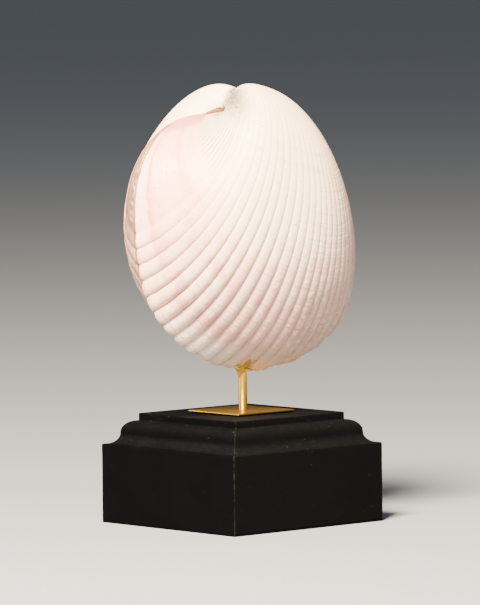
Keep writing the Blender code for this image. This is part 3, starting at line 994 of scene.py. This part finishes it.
def furrow_tones(kit):
    """Pink to brown in the furrows, partly their own tint and partly painted shade, deepest low on the
    rear, and faint rays near the beak.
    """
    growth, furrow, degrees, cloudy = kit.growth, kit.furrow, kit.degrees, kit.cloudy
    low_rear = degrees.within(-80.0, -40.0, -10.0, 6.0)
    shade = kit.mix(low_rear * cloudy.span(0.35, 0.6, 0.35, 1.0), (0.46, 0.32, 0.27),
                    (0.62, 0.30, 0.27))
    pink = (cloudy.span(0.36, 0.60) * growth.span(1.1, 0.2)).span(0.0, 1.0, 0.25, 0.5)
    # The furrows' own pink together with painted shade in them.
    deep = furrow ** 0.8 * (pink * growth.span(0.9, 0.35, 0.5, 1.0) + low_rear * 0.2)
    early_front = degrees.span(-60.0, -110.0) * growth.span(0.36, 0.62)
    deep = deep * (1.0 - early_front * 0.45) + furrow * kit.worn * 0.7
    kit.cover(deep.at_most(1.0), shade)
    # Darker traces of the faint furrows high on the shell: partly their own tint, partly painted shade.
    kit.cover(kit.trace * growth.span(0.5, 1.0) * 0.4, (0.56, 0.42, 0.28))
    kit.cover(kit.rays * 0.55, (0.46, 0.34, 0.24))


def far_strip(kit):
    """The far valve's rough rear strip with pale rib ends."""
    growth, degrees = kit.growth, kit.degrees
    strip = kit.far_side * growth.span(0.30, 0.22) * kit.y.span(-0.035, -0.045)
    shade = kit.mix(degrees.span(6.0, -8.0), (0.21, 0.10, 0.08), (0.34, 0.18, 0.145))
    kit.cover(strip * kit.mottled.span(0.3, 0.5, 0.6, 1.0), shade)
    rib_ends = kit.math("SINE", degrees * 0.92 + 0.6).span(0.55, 0.95)
    rib_ends = rib_ends * growth.pulse(0.055, 0.05) * degrees.span(0.0, 8.0)
    kit.cover(strip * rib_ends * 0.55, (0.74, 0.48, 0.40))
    kit.cover(strip * growth.span(0.018, 0.0) * 0.8, (0.22, 0.10, 0.06))


def dirt_stains_and_crease_shade(kit):
    """Dirt along the seam, dust and painted shade in the crease of the beaks, soaked-in glue and dark
    pits.
    """
    growth, degrees, cloudy = kit.growth, kit.degrees, kit.cloudy
    seam_dirt = growth.span(0.016, 0.003) * degrees.within(-34.0, -18.0, 40.0, 50.0)
    seam_dirt = seam_dirt * kit.near_side * kit.mottled.span(0.35, 0.6, 0.4, 0.9)
    kit.cover(seam_dirt, (0.42, 0.25, 0.13))
    near_beak = degrees.pulse(18.0, 52.0) * growth.span(1.15, 1.6) * kit.rear * kit.near_side
    between = abs(kit.x - 2.6 * MM).span(3.5 * MM, 0.5 * MM)
    between = between * kit.z.span(0.184, 0.188) * kit.y.span(0.010, -0.002)
    # Grey dust and painted shade in the crease between the beaks.
    crease = near_beak.at_least(between)
    kit.cover(crease * cloudy.span(0.25, 0.5, 0.75, 1.0), (0.23, 0.20, 0.13))
    specks = kit.grain(640.0, 3.0, 0.7).span(0.53, 0.60)
    kit.cover(crease * specks * 0.9, (0.05, 0.04, 0.03))
    stain = kit.away_from(12.5, -4.6, 71.5).span(10.0 * MM, 2.0 * MM)
    kit.cover(stain * cloudy.span(0.3, 0.6, 0.6, 1.0) * 0.5, (0.60, 0.42, 0.24))
    soaked = kit.away_from(10.4, -6.6, 71.3) + (kit.mottled - 0.5) * 3.0 * MM
    kit.cover(soaked.span(4.6 * MM, 1.6 * MM) * 0.85, (0.42, 0.27, 0.07))
    kit.cover(kit.inside * 0.9, (0.86, 0.74, 0.66))
    kit.cover(kit.pits * 0.45, (0.44, 0.30, 0.22))


def shell_surface(kit):
    """The height of chalk, growth lines and pits, for the bump."""
    growth = kit.growth
    chalk = kit.grain(1100.0, 3.0, 0.6)
    waves = kit.growth_noise(42.0, 62.0, 2.0, 0.6)
    crinkles = kit.math("SINE", growth * 400.0 + kit.rib_luck * 40.0 + (kit.cloudy - 0.5) * 22.0)
    crinkles = crinkles * kit.mottled.span(0.35, 0.6, 0.15, 0.5) * growth.span(1.4, 0.7)
    crinkles = crinkles * kit.degrees.span(-112.0, -84.0, 0.35, 1.0)
    height = chalk * 0.3 + waves * 1.2 + crinkles * 0.11 + kit.gritty * 0.9
    return height * (kit.low_front * 0.8 + 0.2) - kit.pits * 0.3 - kit.rays * 0.5


def shell_finish():
    """Chalky cream shell, pink on the rear slope, pink with painted shade in the furrows, browner where
    it is worn, with painted shade low down and painted light on the low rib ends.
    """
    kit = ShellKit()
    for section in (cream_ground, rear_slope, low_growth, furrow_tones, far_strip, dirt_stains_and_crease_shade):
        section(kit)
    roughness = kit.cloudy.span(0.3, 0.7, 0.40, 0.56) + kit.furrow * 0.12
    return kit.paint(roughness, kit.bump(shell_surface(kit), 0.8 * MM))


def dry_ligament_finish():
    """Brittle strands, gold brown with darker cracks."""
    kit = FinishKit("dry_ligament")
    strands = kit.noise(kit.stretch(1400.0, 90.0, 1400.0), 1.0, 4.0, 0.6)
    patches = kit.grain(320.0, 2.0)
    kit.colour = kit.mix(strands.span(0.35, 0.62), (0.06, 0.028, 0.010), (0.21, 0.105, 0.045))
    kit.cover(patches.span(0.5, 0.7) * 0.5, (0.28, 0.16, 0.075))
    return kit.paint(0.5, kit.bump(strands, 0.35 * MM, 0.8))


def glue_finish(name, thick, thin, streak, upper=None):
    """Aged clear glue, darker where it is thick, with another tone high on the shell if asked."""
    kit = FinishKit(name)
    depth = kit.grain(240.0, 2.0)
    streaks = kit.grain(620.0, 3.0, 0.6)
    kit.colour = kit.mix(depth.span(0.36, 0.62), thick, thin)
    kit.cover(streaks.span(0.52, 0.7) * 0.6, streak)
    if upper:
        kit.cover(kit.separate(kit.here)[2].span(0.154, 0.158) * 0.8, upper)
    return kit.paint(depth.span(0.3, 0.7, 0.12, 0.26), kit.bump(depth, 0.5 * MM, 0.4),
                     Specular_IOR_Level=0.3, Coat_Weight=0.25, Coat_Roughness=0.05)


def brass_finish(name, drawn, bright, dull, roughness, **constants):
    """Satin brass with fine drawn lines and tarnish."""
    kit = FinishKit(name)
    tarnish = kit.grain(90.0, 4.0, 0.6)
    spots = kit.grain(520.0, 2.0)
    lines = kit.noise(kit.stretch(*drawn), 1.0, 2.0, 0.6)
    kit.colour = kit.mix(tarnish.span(0.35, 0.7), bright, dull)
    kit.cover(spots.span(0.62, 0.75) * 0.35, (0.42, 0.22, 0.04))
    rough = tarnish.span(0.3, 0.7, roughness, roughness + 0.08)
    return kit.paint(rough, kit.bump(lines, 0.02 * MM, 0.2), Metallic=1.0, **constants)


def black_wood_finish():
    """Matt black paint over wood: dust in the mouldings and on the top, painted light on the right side,
    rubbed corners.
    """
    kit = FinishKit("black_painted_wood")
    x, y, z = kit.separate(kit.here)
    strokes = kit.noise(kit.stretch(60.0, 60.0, 500.0), 1.0, 3.0)
    patchy = kit.grain(60.0, 3.0)
    fine = kit.grain(700.0, 4.0, 0.7)
    dust = kit.grain(1200.0, 1.0)
    # Painted light: the right side and its mouldings made lighter, evening out the key light from the
    # left.
    right_side_painted_light = (x + y).span(-0.4 * MM, 0.4 * MM)
    kit.colour = kit.mix((patchy * 0.8 + strokes * 0.2).span(0.3, 0.7), (0.0006, 0.0007, 0.0009),
                         (0.0009, 0.0010, 0.0012))
    kit.cover(right_side_painted_light * fine.span(0.3, 0.7, 0.8, 1.0), (0.0023, 0.0024, 0.0026))
    cove = z.within(BLOCK_TOP, BLOCK_TOP + 0.4 * MM, 38.0 * MM, 41.2 * MM)
    round_top = z.within(41.8 * MM, 45.2 * MM, 46.3 * MM, 46.6 * MM)
    moulded = cove.at_least(round_top * 0.8) * patchy.span(0.3, 0.6, 0.7, 1.0)
    # Moulding tone, lighter on the right side as painted light.
    tone = kit.mix(right_side_painted_light, (0.0019, 0.0021, 0.0026), (0.0027, 0.0029, 0.0032))
    tone = kit.mix(fine.span(0.52, 0.68) * 0.4, tone, (0.0072, 0.0078, 0.0088))
    kit.cover(moulded, tone)
    face_up = z.span(49.3 * MM, 49.55 * MM)
    toward_viewer = x * 0.745 - y * 0.667
    before_plate = toward_viewer.span(12.0 * MM, 24.0 * MM, 0.12, 1.0)
    dusty = face_up * patchy.span(0.35, 0.6, 0.5, 1.0) * before_plate
    kit.cover(dusty, (0.0052, 0.0049, 0.0048))
    corner = abs(abs(x) - abs(y)).span(0.6 * MM, 0.15 * MM)
    rubbed = corner * kit.grain(480.0, 3.0, 0.7).span(0.46, 0.66)
    kit.cover(rubbed * 0.2, (0.043, 0.046, 0.050))
    specks = (dust + moulded * 0.03).span(0.77, 0.84)
    kit.cover(specks * 0.6, (0.10, 0.11, 0.13))
    height = strokes * 0.3 + kit.grain(1400.0, 2.0) * 0.3
    return kit.paint(0.6, kit.bump(height, 0.05 * MM, 0.4), Specular_IOR_Level=0.02)


def floor_finish():
    kit = FinishKit("pale_floor")
    kit.colour = (0.225, 0.25, 0.285)
    return kit.paint(0.9)


# Studio

def place_camera():
    """The photograph's own viewpoint, solved from the plinth's corners."""
    azimuth, elevation, roll = (math.radians(angle) for angle in (48.158, 3.988, -0.633))
    aimed_at = Matrix.Translation((1.196 * MM, -1.121 * MM, 99.44 * MM))
    turned = Euler((0.5 * math.pi - elevation, 0.0, azimuth)).to_matrix().to_4x4()
    back = Matrix.Translation((0.0, 0.0, 2.5))
    camera = bpy.data.objects.new("camera", bpy.data.cameras.new("camera"))
    camera.matrix_world = aimed_at @ turned @ Matrix.Rotation(roll, 4, "Z") @ back
    camera.data.sensor_width = 36.0
    camera.data.lens = 329.8
    camera.data.clip_end = 20.0
    bpy.context.scene.collection.objects.link(camera)
    bpy.context.scene.camera = camera


def soft_light(name, place, size, power, colour):
    lamp = bpy.data.objects.new(name, bpy.data.lights.new(name, "AREA"))
    lamp.data.shape = "RECTANGLE"
    lamp.data.size = lamp.data.size_y = size
    lamp.data.energy = power
    lamp.data.color = colour
    lamp.location = place
    aim = Vector((0.0, 0.0, 0.12)) - Vector(place)
    lamp.rotation_euler = aim.to_track_quat("-Z", "Y").to_euler()
    bpy.context.scene.collection.objects.link(lamp)


def make_studio():
    mesh = bpy.data.meshes.new("floor")
    reach = 30.0
    corners = [(x * reach, y * reach, 0.0) for x, y in ((-1, -1), (1, -1), (1, 1), (-1, 1))]
    mesh.from_pydata(corners, [], [(0, 1, 2, 3)])
    floor = link("floor", mesh)
    mesh.materials.append(floor_finish())
    world = bpy.data.worlds.new("studio")
    world.use_nodes = True
    sky = world.node_tree.nodes["Background"].inputs
    sky["Color"].default_value = (0.57, 0.59, 0.63, 1.0)
    sky["Strength"].default_value = 0.42
    bpy.context.scene.world = world
    soft_light("key_light", (0.51, -0.90, 1.08), 0.45, 262.0, (1.0, 0.83, 0.60))
    soft_light("fill_light", (-1.1, -0.9, 0.5), 0.7, 9.0, (1.0, 0.93, 0.86))
    place_camera()


def main():
    near_valve = make_valves(shell_finish())[0]
    glue = glue_finish("amber_glue", (0.21, 0.12, 0.003), (0.40, 0.25, 0.008), (0.50, 0.36, 0.03))
    run = glue_finish("glue_run", (0.26, 0.14, 0.035), (0.40, 0.24, 0.07), (0.50, 0.33, 0.12))
    smear = glue_finish("glue_smear", (0.42, 0.27, 0.12), (0.56, 0.39, 0.20), (0.66, 0.50, 0.30))
    make_seam_thread(glue_finish("seam_glue", (0.09, 0.045, 0.014), (0.18, 0.10, 0.042),
                                 (0.27, 0.17, 0.06), (0.33, 0.20, 0.035)))
    make_fillet(glue)
    make_runs(near_valve, glue, run, smear)
    make_ligament(dry_ligament_finish())
    make_plinth(black_wood_finish())
    make_plate(brass_finish("plate_brass", (150.0, 2500.0, 150.0), (0.70, 0.42, 0.07),
                            (0.54, 0.31, 0.045), 0.26,
                            Specular_Tint=(0.82, 0.60, 0.30)))
    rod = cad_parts["brass_rod"]
    rod.data.materials.clear()
    rod.data.materials.append(brass_finish("rod_brass", (900.0, 900.0, 60.0), (1.0, 0.72, 0.11),
                                           (0.94, 0.62, 0.08), 0.38, Anisotropic=0.9,
                                           Anisotropic_Rotation=0.25,
                                           Specular_Tint=(0.50, 0.32, 0.08)))
    make_studio()


main()
